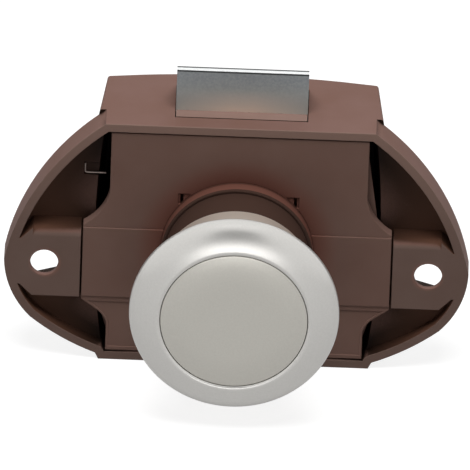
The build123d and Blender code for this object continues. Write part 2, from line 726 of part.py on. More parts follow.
with BuildPart() as rosette:
    shoulder_x = BORE_R + ROSETTE_LIP
    shoulder_width = ROSETTE_R - shoulder_x
    shoulder_height = ROSETTE_HEIGHT - ROSETTE_EDGE
    with BuildSketch(Plane.XY):
        with BuildLine():
            lip = Line((BORE_R, BUTTON_FRONT + ROSETTE_LIP_ROUND), (shoulder_x, BUTTON_FRONT))
            shoulder = ThreePointArc(
                lip @ 1,
                (
                    shoulder_x + shoulder_width * shoulder_mid_share[0],
                    BUTTON_FRONT + shoulder_height * shoulder_mid_share[1],
                ),
                (
                    shoulder_x + shoulder_width * shoulder_end_share[0],
                    BUTTON_FRONT + shoulder_height * shoulder_end_share[1],
                ),
            )
            brim = TangentArc(
                shoulder @ 1,
                (ROSETTE_R, -PANEL - ROSETTE_EDGE),
                tangent=shoulder % 1,
            )
            Polyline(
                brim @ 1,
                (ROSETTE_R, -PANEL - ROSETTE_EDGE_ROUND),
                (ROSETTE_R - ROSETTE_EDGE_ROUND, -PANEL),
                (SLEEVE_R, -PANEL),
                (SLEEVE_R, SLEEVE_LENGTH - PANEL),
                (BORE_R, SLEEVE_LENGTH - PANEL),
                lip @ 0,
            )
        make_face()
    revolve(axis=Axis.Y)
rosette.part.label = "rosette"

with BuildPart() as button_cap:
    with BuildSketch(Plane.XY):
        with BuildLine():
            rim_y = BUTTON_FRONT - BUTTON_CROWN + BUTTON_FALL
            middle = Line((0, BUTTON_FRONT - BUTTON_CROWN), (BUTTON_FLAT_R, BUTTON_FRONT - BUTTON_CROWN))
            dome = TangentArc(middle @ 1, (BUTTON_R - BUTTON_CHAMFER, rim_y), tangent=middle % 1)
            Polyline(
                dome @ 1,
                (BUTTON_R, rim_y + BUTTON_CHAMFER),
                (BUTTON_R, SKIRT_END_Y),
                (BUTTON_R - BUTTON_SKIRT, SKIRT_END_Y),
                (BUTTON_R - BUTTON_SKIRT, CAP_FLOOR_Y),
                (0, CAP_FLOOR_Y),
                middle @ 0,
            )
        make_face()
    revolve(axis=Axis.Y)
button_cap.part.label = "button_cap"

with BuildPart() as button_core:
    with BuildSketch(Plane.XY):
        with BuildLine():
            Polyline(
                (SHAFT_NOSE_R, NECK_REAR),
                (NECK_R, NECK_REAR),
                (NECK_R, CAP_FLOOR_Y + SNAP_LENGTH),
                (BUTTON_R - BUTTON_SKIRT, CAP_FLOOR_Y + SNAP_LENGTH),
                (BUTTON_R - BUTTON_SKIRT, CAP_FLOOR_Y),
                (NECK_R - NECK_WALL, CAP_FLOOR_Y),
                (NECK_R - NECK_WALL, WEB_FRONT),
                (CORE_SCREW_R, WEB_FRONT),
                (CORE_SCREW_R, SHAFT_FRONT),
                (NECK_R - NECK_WALL, SHAFT_FRONT),
                (NECK_R - NECK_WALL, NECK_REAR - NECK_FLANGE),
                (SHAFT_NOSE_R, NECK_REAR - NECK_FLANGE),
                close=True,
            )
        make_face()
    revolve(axis=Axis.Y)
button_core.part.label = "button_core"

with BuildPart() as plunger_shaft:
    with BuildSketch(Plane.XY):
        with BuildLine():
            Polyline(
                (SPRING_BORE_R, SHAFT_REAR),
                (SHAFT_R, SHAFT_REAR),
                (SHAFT_R, NECK_REAR),
                (SHAFT_NOSE_R, NECK_REAR),
                (SHAFT_NOSE_R, SHAFT_FRONT),
                (CORE_SCREW_R, SHAFT_FRONT),
                (CORE_SCREW_R, CORE_SCREW_TIP),
                (0, CORE_SCREW_TIP),
                (0, SPRING_BORE_FLOOR_Y),
                (SPRING_BORE_R, SPRING_BORE_FLOOR_Y),
                close=True,
            )
        make_face()
    revolve(axis=Axis.Y)
    for side in (1, -1):
        with BuildSketch(Plane.YZ.offset(side * SHAFT_R)):
            with Locations((PIN_Y, 0)):
                Circle(PIN_R)
        extrude(amount=side * (PIN_TIP_X - PIN_LENGTH - SHAFT_R), mode=Mode.SUBTRACT)
plunger_shaft.part.label = "plunger_shaft"

with BuildPart() as core_screw:
    with BuildSketch(depth_plane(CORE_SCREW_TIP)):
        Circle(CORE_SCREW_R)
    extrude(amount=CORE_SCREW_TIP - WEB_FRONT)
    with BuildSketch(depth_plane(WEB_FRONT)):
        Circle(CORE_SCREW_HEAD_R)
    extrude(amount=CORE_SCREW_HEAD)
    with BuildSketch(depth_plane(WEB_FRONT - CORE_SCREW_HEAD)):
        Rectangle(2 * CORE_SCREW_HEAD_R * slot_share, SCREW_SLOT)
        Rectangle(SCREW_SLOT, 2 * CORE_SCREW_HEAD_R * slot_share)
    extrude(amount=-SCREW_SLOT_DEPTH, mode=Mode.SUBTRACT)
core_screw.part.label = "core_screw"

with BuildPart() as drive_pins:
    with BuildSketch(Plane.YZ.offset(PIN_TIP_X)):
        with Locations((PIN_Y, 0)):
            Circle(PIN_R)
    extrude(amount=-PIN_LENGTH)
    mirror(about=Plane.YZ)
drive_pins.part.label = "drive_pins"

with BuildPart() as spring_washer:
    with BuildSketch(depth_plane(BACK_Y)):
        Circle(WASHER_R)
        Circle(PEG_R + RUNNING_FIT, mode=Mode.SUBTRACT)
    extrude(amount=WASHER)
spring_washer.part.label = "spring_washer"

button_spring_length = BACK_Y - WASHER - SPRING_BORE_FLOOR_Y - 2 * BUTTON_WIRE_R
with BuildPart() as button_spring:
    seat = Plane(origin=(0, BACK_Y - WASHER - BUTTON_WIRE_R, 0), x_dir=(1, 0, 0), z_dir=(0, -1, 0))
    with BuildLine() as button_wire:
        add(coil(seat, BUTTON_COIL_R, button_spring_length, BUTTON_TURNS))
    with BuildSketch(Plane(origin=button_wire.line @ 0, z_dir=button_wire.line % 0)):
        Circle(BUTTON_WIRE_R)
    sweep(path=button_wire.line)
button_spring.part.label = "button_spring"
button_gap = coil_gap(BUTTON_COIL_R, button_spring_length, BUTTON_TURNS, BUTTON_WIRE_R)
print("button_spring least gap between turns", round(button_gap, 2))

with BuildPart() as retractor_slide:
    # Bar under the shaft
    with BuildSketch(Plane.XY.offset(BAR_TOP)):
        with Locations((0, BAR_FRONT)):
            Rectangle(
                2 * BAR_HALF_WIDTH,
                STEEL_BACK - BAR_FRONT,
                align=(Align.CENTER, Align.MIN),
            )
    extrude(amount=-BAR)
    # Cheeks beside the shaft, each with the slanted groove that the drive pin runs in
    groove_half = (PIN_R + RUNNING_FIT) * math.hypot(1, PULL_RATIO)
    cheek_top = PULL_RATIO * (PIN_Y - CARRIER_FRONT) + groove_half + CHEEK_TOP_MARGIN
    with BuildSketch(Plane.YZ.offset(CHEEK_INNER)):
        with Locations((CARRIER_FRONT, BAR_TOP - BAR / 2)):
            Rectangle(
                STEEL_BACK - CARRIER_FRONT,
                cheek_top - BAR_TOP + BAR / 2,
                align=(Align.MIN, Align.MIN),
            )
    extrude(amount=CHEEK)
    with BuildSketch(Plane.YZ.offset(CHEEK_INNER)):
        with BuildLine():
            Polyline(
                (PIN_Y - BOX_DEPTH, PULL_RATIO * BOX_DEPTH + groove_half),
                (PIN_Y + BOX_DEPTH, -PULL_RATIO * BOX_DEPTH + groove_half),
                (PIN_Y + BOX_DEPTH, -PULL_RATIO * BOX_DEPTH - groove_half),
                (PIN_Y - BOX_DEPTH, PULL_RATIO * BOX_DEPTH - groove_half),
                close=True,
            )
        make_face()
    extrude(amount=CHEEK - CHEEK_FLOOR, mode=Mode.SUBTRACT)
    # Spigots of the two bolt springs
    with BuildSketch(Plane.XY.offset(BAR_TOP)):
        with Locations((BOLT_SPRING_X, BOLT_SPRING_Y)):
            Circle(SPIGOT_R)
    extrude(amount=LOWER_SPIGOT)
    mirror(about=Plane.YZ)
    # Apron that carries the latch track
    with BuildSketch(depth_plane(TRACK_BACK)):
        with Locations((LATCH_X, BAR_TOP - BAR)):
            Rectangle(TRACK_WIDTH, TRACK_TOP - BAR_TOP + BAR, align=(Align.CENTER, Align.MIN))
    extrude(amount=-APRON)
retractor_slide.part.label = "retractor_slide"

track_height = TRACK_TOP - BAR_TOP
with BuildPart() as latch_track:
    with BuildSketch(depth_plane(TRACK_FRONT)):
        with Locations((LATCH_X, BAR_TOP)):
            Rectangle(TRACK_WIDTH, track_height, align=(Align.CENTER, Align.MIN))
    extrude(amount=-TRACK)
    pocket_width = TRACK_WIDTH - 2 * TRACK_WALL
    pocket_height = track_height - 4 * TRACK_WALL
    with BuildSketch(depth_plane(TRACK_FRONT)):
        with Locations((LATCH_X, BAR_TOP + track_height / 2)):
            RectangleRounded(pocket_width, pocket_height, pocket_width * lane_round_share)
    extrude(amount=-LANE_DEPTH, mode=Mode.SUBTRACT)
    # Heart-shaped island between the two lanes
    island_half = pocket_width / 2 - LANE
    island_low = BAR_TOP + track_height / 2 - pocket_height / 2 + 2 * LANE
    island_high = BAR_TOP + track_height / 2 + pocket_height / 2 - LANE
    with BuildSketch(depth_plane(TRACK_FRONT)):
        with BuildLine():
            Polyline(
                (LATCH_X, island_low + island_half),
                (LATCH_X + island_half, island_low),
                (LATCH_X + island_half, island_high - 2 * island_half),
                (LATCH_X, island_high),
                (LATCH_X - island_half, island_high - 2 * island_half),
                (LATCH_X - island_half, island_low),
                close=True,
            )
        make_face()
    extrude(amount=-TRACK)
latch_track.part.label = "latch_track"

tip_x = LATCH_X + (TRACK_WIDTH / 2 - TRACK_WALL) - LANE / 2
with BuildPart() as latch_follower:
    with BuildLine() as follower_wire:
        FilletPolyline(
            (tip_x, TRACK_FRONT + TIP_DEPTH, TIP_Z),
            (tip_x, FOLLOWER_Y, TIP_Z),
            (LATCH_X, FOLLOWER_Y, PIVOT_Z),
            (LATCH_X, TRACK_FRONT + PIVOT_LENGTH, PIVOT_Z),
            radius=FOLLOWER_BEND_R,
        )
    with BuildSketch(Plane(origin=follower_wire.line @ 0, z_dir=follower_wire.line % 0)):
        Circle(FOLLOWER_R)
    sweep(path=follower_wire.line)
latch_follower.part.label = "latch_follower"

with BuildPart() as follower_spring:
    leaf_top = PIVOT_Z - FOLLOWER_BEND
    with BuildSketch(depth_plane(PLATE)):
        with Locations((LATCH_X, leaf_top)):
            Rectangle(LEAF_WIDTH, LEAF_LENGTH, align=(Align.CENTER, Align.MAX))
        with Locations((LATCH_X, leaf_top - LEAF_WIDTH / 2)):
            Circle(LEAF_PEG_R, mode=Mode.SUBTRACT)
    extrude(amount=-LEAF)
follower_spring.part.label = "follower_spring"

with BuildPart() as slot_wire:
    wire_y = POCKET + WIRE_SLOT_DEPTH - SLOT_WIRE_R
    wire_z = WIRE_SLOT_Z + SLOT_WIRE_R
    wire_x = WIRE_SLOT_X - SLOT_WIRE_R
    with BuildLine() as slot_path:
        FilletPolyline(
            (-GUIDE_X - GUIDE, wire_y, wire_z),
            (-wire_x, wire_y, wire_z),
            (-wire_x, wire_y, wire_z + SLOT_WIRE_RISE),
            radius=SLOT_WIRE_BEND_R,
        )
    with BuildSketch(Plane(origin=slot_path.line @ 0, z_dir=slot_path.line % 0)):
        Circle(SLOT_WIRE_R)
    sweep(path=slot_path.line)
slot_wire.part.label = "slot_wire"


def steel_profile(inset):
    """Side view of the folded steel bolt, or with the sheet as inset the space inside it."""
    crest = Vector(STEEL_FRONT + BOLT_CREST, BOLT_TOP)
    foot = Vector(STEEL_BACK, BACKSET + RAMP_FOOT)
    along = (foot - crest).normalized()
    outward = Vector(-along.Y, along.X)
    high = crest - along * BOX_DEPTH - outward * inset
    low = foot + along * BOX_DEPTH - outward * inset
    with BuildSketch() as profile:
        with Locations((STEEL_FRONT + inset, EAR_BOTTOM)):
            Rectangle(
                STEEL_BACK - STEEL_FRONT - 2 * inset,
                BOLT_TOP - inset - EAR_BOTTOM,
                align=(Align.MIN, Align.MIN),
            )
        # All that lies above the ramp goes
        with BuildLine():
            Polyline(high, low, low + outward * BOX_DEPTH, high + outward * BOX_DEPTH, close=True)
        make_face(mode=Mode.SUBTRACT)
    return profile.sketch


with BuildPart() as steel_bolt:
    with BuildSketch(Plane.YZ):
        add(steel_profile(0))
    extrude(amount=STEEL_HALF_WIDTH, both=True)
    with BuildSketch(Plane.YZ):
        add(steel_profile(STEEL))
    extrude(amount=STEEL_HALF_WIDTH, both=True, mode=Mode.SUBTRACT)
    # Between the two ears the sheet ends above the shaft
    with BuildSketch(Plane.XY.offset(SHEET_END)):
        with Locations((0, STEEL_FRONT - OVERRUN / 2)):
            Rectangle(
                2 * LEG_INNER,
                STEEL_BACK - STEEL_FRONT + OVERRUN,
                align=(Align.CENTER, Align.MIN),
            )
    extrude(amount=EAR_BOTTOM - SHEET_END, mode=Mode.SUBTRACT)
    with BuildSketch(depth_plane(STEEL_FRONT)):
        with Locations(*rivet_places()):
            Circle(RIVET_R)
    extrude(amount=-BOX_DEPTH, mode=Mode.SUBTRACT)
steel_bolt.part.label = "steel_bolt"

with BuildPart() as bolt_carrier:
    # Nose inside the folded steel, and the strip in front of it
    with BuildSketch(Plane.YZ):
        add(steel_profile(STEEL))
        with Locations((LEG_FRONT, WEB_BOTTOM)):
            Rectangle(
                LEG_BACK - LEG_FRONT,
                BOLT_TOP - WEB_BOTTOM,
                align=(Align.MIN, Align.MIN),
                mode=Mode.INTERSECT,
            )
    extrude(amount=CARRIER_HALF_WIDTH - NOSE_INSET, both=True)
    with BuildSketch(Plane.YZ):
        with Locations((CARRIER_FRONT, WEB_BOTTOM)):
            Rectangle(STRIP, BACKSET - WEB_BOTTOM, align=(Align.MIN, Align.MIN))
    extrude(amount=CARRIER_HALF_WIDTH, both=True)
    with BuildSketch(Plane.YZ):
        with Locations((CARRIER_FRONT, WEB_BOTTOM)):
            Rectangle(LEG_BACK - CARRIER_FRONT, BRIDGE, align=(Align.MIN, Align.MIN))
    extrude(amount=LEG_INNER, both=True)
    # Legs beside the retractor's cheeks, with the lugs that the springs push on
    with BuildSketch(Plane.XY.offset(CARRIER_LUG_Z)):
        with Locations((LEG_INNER, LEG_FRONT)):
            Rectangle(
                CARRIER_HALF_WIDTH - LEG_INNER,
                LEG_BACK - LEG_FRONT,
                align=(Align.MIN, Align.MIN),
            )
        mirror(about=Plane.YZ)
    extrude(amount=BACKSET - CARRIER_LUG_Z)
    with BuildSketch(Plane.XY.offset(CARRIER_LUG_Z)):
        with Locations((LEG_INNER, CARRIER_LUG_FRONT)):
            Rectangle(
                CARRIER_LUG_X - LEG_INNER,
                CARRIER_LUG_DEPTH,
                align=(Align.MIN, Align.MIN),
            )
        mirror(about=Plane.YZ)
    extrude(amount=CARRIER_LUG)
    with BuildSketch(Plane.XY.offset(CARRIER_LUG_Z)):
        with Locations((BOLT_SPRING_X, BOLT_SPRING_Y), (-BOLT_SPRING_X, BOLT_SPRING_Y)):
            Circle(SPIGOT_R)
    extrude(amount=-UPPER_SPIGOT)
    with BuildSketch(depth_plane(STEEL_FRONT)):
        with Locations(*rivet_places()):
            Circle(RIVET_R)
    extrude(amount=-BOX_DEPTH, mode=Mode.SUBTRACT)
bolt_carrier.part.label = "bolt_carrier"

with BuildPart() as bolt_rivets:
    with BuildSketch(depth_plane(STEEL_FRONT)):
        with Locations(*rivet_places()):
            Circle(RIVET_R)
    extrude(amount=STEEL_FRONT - STEEL_BACK)
    with BuildSketch(depth_plane(STEEL_FRONT), depth_plane(STEEL_BACK + RIVET_HEAD)):
        with Locations(*rivet_places()):
            Circle(RIVET_HEAD_R)
    extrude(amount=RIVET_HEAD)
bolt_rivets.part.label = "bolt_rivets"

bolt_spring_length = SPRING_SEAT_HIGH - SPRING_SEAT_LOW - 2 * BOLT_WIRE_R
bolt_springs = {}
for spring_name, spring_x in (("bolt_spring_left", -BOLT_SPRING_X), ("bolt_spring_right", BOLT_SPRING_X)):
    with BuildPart() as bolt_spring:
        seat = Plane(origin=(spring_x, BOLT_SPRING_Y, SPRING_SEAT_LOW + BOLT_WIRE_R))
        with BuildLine() as bolt_wire:
            add(coil(seat, BOLT_COIL_R, bolt_spring_length, BOLT_TURNS))
        with BuildSketch(Plane(origin=bolt_wire.line @ 0, z_dir=bolt_wire.line % 0)):
            Circle(BOLT_WIRE_R)
        sweep(path=bolt_wire.line)
    bolt_spring.part.label = spring_name
    bolt_springs[spring_name] = bolt_spring.part
bolt_gap = coil_gap(BOLT_COIL_R, bolt_spring_length, BOLT_TURNS, BOLT_WIRE_R)
print("bolt springs least gap between turns", round(bolt_gap, 2))

with BuildPart() as cover_screws:
    with BuildSketch(depth_plane(TOWER_FRONT - SCREW_LENGTH)):
        with Locations(*screw_places()):
            Circle(SCREW_R)
    extrude(amount=TOWER_FRONT - SCREW_LENGTH - SCREW_HEAD_Y)
    with BuildSketch(depth_plane(SCREW_HEAD_Y - SCREW_HEAD)):
        with Locations(*screw_places()):
            Circle(SCREW_HEAD_R)
    extrude(amount=-SCREW_HEAD)
    with BuildSketch(depth_plane(SCREW_HEAD_Y)):
        with Locations(*screw_places()):
            Rectangle(2 * SCREW_HEAD_R * slot_share, SCREW_SLOT)
            Rectangle(SCREW_SLOT, 2 * SCREW_HEAD_R * slot_share)
    extrude(amount=SCREW_SLOT_DEPTH, mode=Mode.SUBTRACT)
cover_screws.part.label = "cover_screws"

print("retract", round(RETRACT, 3), "pull ratio", round(PULL_RATIO, 4))

pieces = [
    housing.part,
    front_cover.part,
    cover_screws.part,
    rosette.part,
    button_cap.part,
    button_core.part,
    core_screw.part,
    plunger_shaft.part,
    drive_pins.part,
    button_spring.part,
    spring_washer.part,
    retractor_slide.part,
    latch_track.part,
    latch_follower.part,
    follower_spring.part,
    slot_wire.part,
    bolt_carrier.part,
    steel_bolt.part,
    bolt_rivets.part,
    bolt_springs["bolt_spring_left"],
    bolt_springs["bolt_spring_right"],
]
os.makedirs("parts", exist_ok=True)
for piece in pieces:
    export_step(piece, f"parts/{piece.label}.step")
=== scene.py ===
# %% [markdown]
# # Push button cabinet lock
# A brown moulded lock that is screwed to the inside of a cupboard door. A satin nickel button
# comes through the door, and a spring bolt of folded steel stands out of the top.
# The CAD model is loaded as a fixed frame. This script gives its pieces the edges, curves and
# finishes that a CAD mesh leaves out, and then sets up a small photo studio.

# %% Load the CAD frame
import json
import math

import bmesh
import bpy
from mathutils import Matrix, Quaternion, Vector
from mathutils.geometry import interpolate_bezier


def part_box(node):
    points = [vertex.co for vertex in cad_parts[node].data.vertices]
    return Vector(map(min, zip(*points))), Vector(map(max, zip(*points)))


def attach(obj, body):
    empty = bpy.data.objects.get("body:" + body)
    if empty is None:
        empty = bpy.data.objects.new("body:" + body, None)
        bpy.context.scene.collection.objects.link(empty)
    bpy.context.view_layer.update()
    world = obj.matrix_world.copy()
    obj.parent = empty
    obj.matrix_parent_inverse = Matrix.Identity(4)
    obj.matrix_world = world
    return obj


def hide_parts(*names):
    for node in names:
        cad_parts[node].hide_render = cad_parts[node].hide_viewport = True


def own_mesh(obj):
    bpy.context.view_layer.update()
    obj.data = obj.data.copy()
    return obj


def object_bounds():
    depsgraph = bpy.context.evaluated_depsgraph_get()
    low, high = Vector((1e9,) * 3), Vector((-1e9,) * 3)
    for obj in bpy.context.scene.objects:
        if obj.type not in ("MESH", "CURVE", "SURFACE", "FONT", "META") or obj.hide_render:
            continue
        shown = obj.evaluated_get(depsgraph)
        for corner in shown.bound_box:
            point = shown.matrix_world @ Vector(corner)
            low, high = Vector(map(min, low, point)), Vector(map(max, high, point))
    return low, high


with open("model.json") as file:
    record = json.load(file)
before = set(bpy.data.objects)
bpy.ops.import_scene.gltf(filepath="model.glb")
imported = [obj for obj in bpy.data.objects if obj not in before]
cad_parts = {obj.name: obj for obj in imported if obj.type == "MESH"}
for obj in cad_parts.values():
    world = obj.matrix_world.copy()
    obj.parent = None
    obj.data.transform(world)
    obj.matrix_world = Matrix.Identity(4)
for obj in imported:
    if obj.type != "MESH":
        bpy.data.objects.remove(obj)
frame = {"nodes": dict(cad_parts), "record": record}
cad_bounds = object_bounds()
MM = 0.001

# %% [markdown]
# ## The camera
# The photograph looks down on the button from about 28 degrees, from so far away that parallel
# edges stay parallel. A long lens on a distant camera gives the same flat perspective. The
# camera could be moved until the picture fits. Here it is placed by the picture's own numbers,
# which say at once what was measured: the scale in pixels per millimetre, and the pixel on
# which the button's axis meets the mounting face.

# %% Camera
PICTURE = 470
PIXELS_PER_MM = 6.1
AXIS_PIXEL = (236.8, 250.7)
ELEVATION = math.radians(28.0)
AZIMUTH = math.radians(0.2)
ROLL = math.radians(2.05)
DISTANCE = 3.0
SENSOR_WIDTH = 36
CLIP_NEAR, CLIP_FAR = 0.1, 20

camera_data = bpy.data.cameras.new("studio_camera")
camera = bpy.data.objects.new("studio_camera", camera_data)
bpy.context.scene.collection.objects.link(camera)
bpy.context.scene.camera = camera

towards_camera = Vector((
    math.sin(AZIMUTH) * math.cos(ELEVATION),
    -math.cos(AZIMUTH) * math.cos(ELEVATION),
    math.sin(ELEVATION),
))
turn = (-towards_camera).to_track_quat("-Z", "Y") @ Quaternion((0, 0, 1), ROLL)
right, up = turn @ Vector((1, 0, 0)), turn @ Vector((0, 1, 0))
step = MM / PIXELS_PER_MM
aim = right * (PICTURE / 2 - AXIS_PIXEL[0]) * step + up * (AXIS_PIXEL[1] - PICTURE / 2) * step
camera.rotation_mode = "QUATERNION"
camera.rotation_quaternion = turn
camera.location = aim + towards_camera * DISTANCE
camera_data.sensor_width = SENSOR_WIDTH
camera_data.lens = SENSOR_WIDTH * DISTANCE / (PICTURE * step)
camera_data.clip_start, camera_data.clip_end = CLIP_NEAR, CLIP_FAR
print("lens", round(camera_data.lens), "mm")

# %% [markdown]
# ## Nodes in one call
# Every finish here is a small node tree. One function adds a node, sets its properties and
# sockets, and links what feeds it, so that a material reads from top to bottom like a recipe.

# %% Node and colour helpers
def linear(code):
    """Linear colour of an sRGB hex value such as "8A6B60"."""
    channels = [int(code[start : start + 2], 16) / 255 for start in (0, 2, 4)]
    return [c / 12.92 if c <= 0.04045 else ((c + 0.055) / 1.055) ** 2.4 for c in channels] + [1]


def add_node(tree, kind, sockets=None, **settings):
    """Adds a node. A socket's value is a number, a colour or another node's output."""
    made = tree.nodes.new("ShaderNode" + kind)
    for name, value in settings.items():
        setattr(made, name, value)
    for name, value in (sockets or {}).items():
        if isinstance(value, bpy.types.NodeSocket):
            tree.links.new(value, made.inputs[name])
        else:
            made.inputs[name].default_value = value
    return made


def new_finish(name):
    """Empty material, and the tree to build in."""
    finish = bpy.data.materials.new(name)
    finish.use_nodes = True
    finish.node_tree.nodes.clear()
    return finish, finish.node_tree


def noise(tree, size_mm, detail=2.0):
    """Soft cloud whose lumps are about this many millimetres across."""
    place = add_node(tree, "TexCoord").outputs["Object"]
    cloud = add_node(tree, "TexNoise", {"Vector": place, "Scale": 1 / (size_mm * MM), "Detail": detail})
    return cloud.outputs["Fac"]


COLOUR_RESULT = 2


def mixed(tree, share, low, high):
    """Colour that goes from low to high with the share. Both are hex values or outputs."""
    made = add_node(tree, "Mix", {
        "Factor": share,
        "A": linear(low) if isinstance(low, str) else low,
        "B": linear(high) if isinstance(high, str) else high,
    }, data_type="RGBA")
    return made.outputs[COLOUR_RESULT]


def ramp(tree, value, start, end, **settings):
    """Zero on the start's side and one on the end's side. The start may be the larger value."""
    limits = {"Value": value, "From Min": start, "From Max": end}
    return add_node(tree, "MapRange", limits, **settings).outputs["Result"]


def blend(tree, amount, low, high, start=0.3, end=0.7):
    """Colour that goes from low to high as the amount goes from start to end."""
    return mixed(tree, ramp(tree, amount, start, end), low, high)


def calculated(tree, operation, first, second=0.0):
    """One step of arithmetic on one or two values."""
    return add_node(tree, "Math", {0: first, 1: second}, operation=operation).outputs[0]


def grain_bump(tree, height, depth_mm, strength=1.0):
    """Normal of a surface that the height pushes up by this many millimetres."""
    bump = add_node(tree, "Bump", {"Height": height, "Strength": strength, "Distance": depth_mm * MM})
    return bump.outputs["Normal"]


# %% [markdown]
# ## Painted shade
# The photograph's lamps and surroundings aren't known, and this studio doesn't bring out all of
# its shade and reflections. They could be left out, and the render would look flatter than the
# photograph. Here they are painted into the colours, by place on each piece. These colours were
# changed over many renders, until the picture came close to the photograph. So they
# fit this view and these lamps only. They don't say what the real lock is made of or what lies
# on it, and in another light they should be taken out.

# %% Places on a piece
def place_axes(tree):
    """X, Y and Z of the object's own coordinates."""
    place = add_node(tree, "TexCoord").outputs["Object"]
    return add_node(tree, "SeparateXYZ", {"Vector": place}).outputs


def ramp_mm(tree, place, start, end, **settings):
    """A ramp over a place on the piece, with its limits in millimetres."""
    return ramp(tree, place, start * MM, end * MM, **settings)


def from_middle(tree, axes, middle=0.0):
    """Distance to either side of the button's axis, counted from this many millimetres out."""
    aside = calculated(tree, "ABSOLUTE", axes["X"])
    return calculated(tree, "ADD", aside, -middle * MM)


def distance(tree, across, up):
    """Length of the line that goes this far across and this far up."""
    point = add_node(tree, "CombineXYZ", {"X": across, "Y": up}).outputs["Vector"]
    return add_node(tree, "VectorMath", {0: point}, operation="LENGTH").outputs["Value"]


def openness(tree, reach, closed, open_at):
    """Zero in hollows and one on open faces, judged over this many millimetres."""
    hollow = add_node(
        tree, "AmbientOcclusion", {"Distance": reach * MM}, samples=16, only_local=True,
    )
    return ramp(tree, hollow.outputs["AO"], closed, open_at)


def unpainted(tree, colour):
    return colour


# %% [markdown]
# ## Brown plastic
# The housing and its cover look like ABS, which is moulded in a steel tool. Fine pits in the
# tool print a matte grain on the part. The grain could be cut into the mesh, but it is far too
# fine for that, so it is a bump in the material. ABS is a dielectric, so its default IOR stays.
# Its gloss is turned down, because the photograph shows next to none.

# %% Plastic shader
CLOUD_SIZE, GRAIN_SIZE = 9, 0.3


def brown_cloud(tree):
    return noise(tree, CLOUD_SIZE, detail=3.0)


def brown_plastic(name, body, cloud, paint):
    finish, tree = new_finish(name)
    # A real grain is mostly finer than a pixel, so it is drawn at 0.3 mm to be seen at all
    shader = add_node(tree, "BsdfPrincipled", {
        "Base Color": paint(tree, blend(tree, brown_cloud(tree), body, cloud)),
        "Roughness": 0.55,
        "Specular IOR Level": 0.08,
        "Normal": grain_bump(tree, noise(tree, GRAIN_SIZE), depth_mm=0.012, strength=0.5),
    })
    add_node(tree, "OutputMaterial", {"Surface": shader.outputs["BSDF"]})
    return finish


# %% Painted shade of the housing
HOLE_OUT, HOLE_DOWN, HOLE_R = 31.4, 3.5, 2.3
HOLE_MARGIN = (HOLE_R + 0.2, HOLE_R + 0.5)
FRONT_SKIN = (0.1, 0.3)
FRONT_LIGHTENS = (2, 21)
POCKET_LIGHTENS = (22, 32)


def painted_housing(tree, colour):
    """Greyer on the front faces, lighter towards their top, and dark in the pockets."""
    axes = place_axes(tree)
    low_front = blend(tree, brown_cloud(tree), "6D5850", "735F57")
    front = mixed(tree, ramp_mm(tree, axes["Z"], *FRONT_LIGHTENS), low_front, "856C62")
    faced = mixed(tree, ramp_mm(tree, axes["Y"], *FRONT_SKIN), front, colour)
    # The pockets are darkest beside the box
    outward = ramp_mm(tree, from_middle(tree, axes), *POCKET_LIGHTENS)
    pocket = mixed(tree, outward, "1C130F", "543A2E")
    shaded = mixed(tree, openness(tree, reach=13, closed=0.84, open_at=0.98), pocket, faced)
    # The screw holes are left out, because as narrow hollows they would turn dark
    below = calculated(tree, "ADD", axes["Z"], HOLE_DOWN * MM)
    hole = distance(tree, from_middle(tree, axes, HOLE_OUT), below)
    return mixed(tree, ramp_mm(tree, hole, *HOLE_MARGIN), colour, shaded)


# %% Painted shade of the cover and the slide
RING_R = 12.5
RING_MARGIN = (RING_R + 0.05, RING_R + 0.1)
RING_FOOT = (-0.35, -0.25)
RING_FRONT = (-2.15, -1.95)
RED_ZONE = (12.0, 17.5)
TOP_FACE = 22.5
SLIDE_LINE = (TOP_FACE - 0.06, TOP_FACE - 0.03)


def painted_cover(tree, colour):
    """Redder and a little darker round the ring, dark on the tube, and near black in hollows."""
    axes = place_axes(tree)
    radius = distance(tree, axes["X"], axes["Z"])
    away = ramp_mm(tree, radius, *RED_ZONE, interpolation_type="SMOOTHSTEP")
    plate_tone = mixed(tree, away, "7A5146", colour)
    # A thin dark line runs round the ring's foot
    foot = mixed(tree, ramp_mm(tree, axes["Y"], *RING_FOOT), plate_tone, "5A3B32")
    ring_tone = mixed(tree, ramp_mm(tree, radius, *RING_MARGIN), foot, plate_tone)
    # The ring's last half millimetre is as dark as the tube in front of it
    toned = mixed(tree, ramp_mm(tree, axes["Y"], *RING_FRONT), "45332C", ring_tone)
    return mixed(tree, openness(tree, reach=9, closed=0.0, open_at=0.8), "140C09", toned)


def painted_slide(tree, colour):
    """Near black from just below the top face, so that the gap round the slide shows as a line."""
    return mixed(tree, ramp_mm(tree, place_axes(tree)["Z"], *SLIDE_LINE), "0C0706", colour)


# %% Brown finishes
housing_brown = brown_plastic("moulded_abs_housing", "795B51", "7F625A", painted_housing)
cover_brown = brown_plastic("moulded_abs_cover", "72584F", "775E55", painted_cover)
# The slide's brown is lighter than the housing's: painted light, in place of the light that the bolt's
# shadow keeps off the slide's strip.
lightened_slide_brown = brown_plastic("moulded_abs_slide", "8A7067", "90766D", painted_slide)
print("brown finishes", [finish.name for finish in (housing_brown, cover_brown, lightened_slide_brown)])

# %% [markdown]
# ## Metals
# Button and rosette look like castings with a pearl nickel plating, which spreads a highlight
# into a soft glow. The bolt looks like zinc plated sheet with a fine speckle. The screws and
# most of the wire are guessed, because the photograph shows only one wire's end. A metal could
# simply have a metallic share of 1. Nickel, bolt and slot wire have less. That isn't physical:
# like the painted shade, it brought the render closer to the photograph.

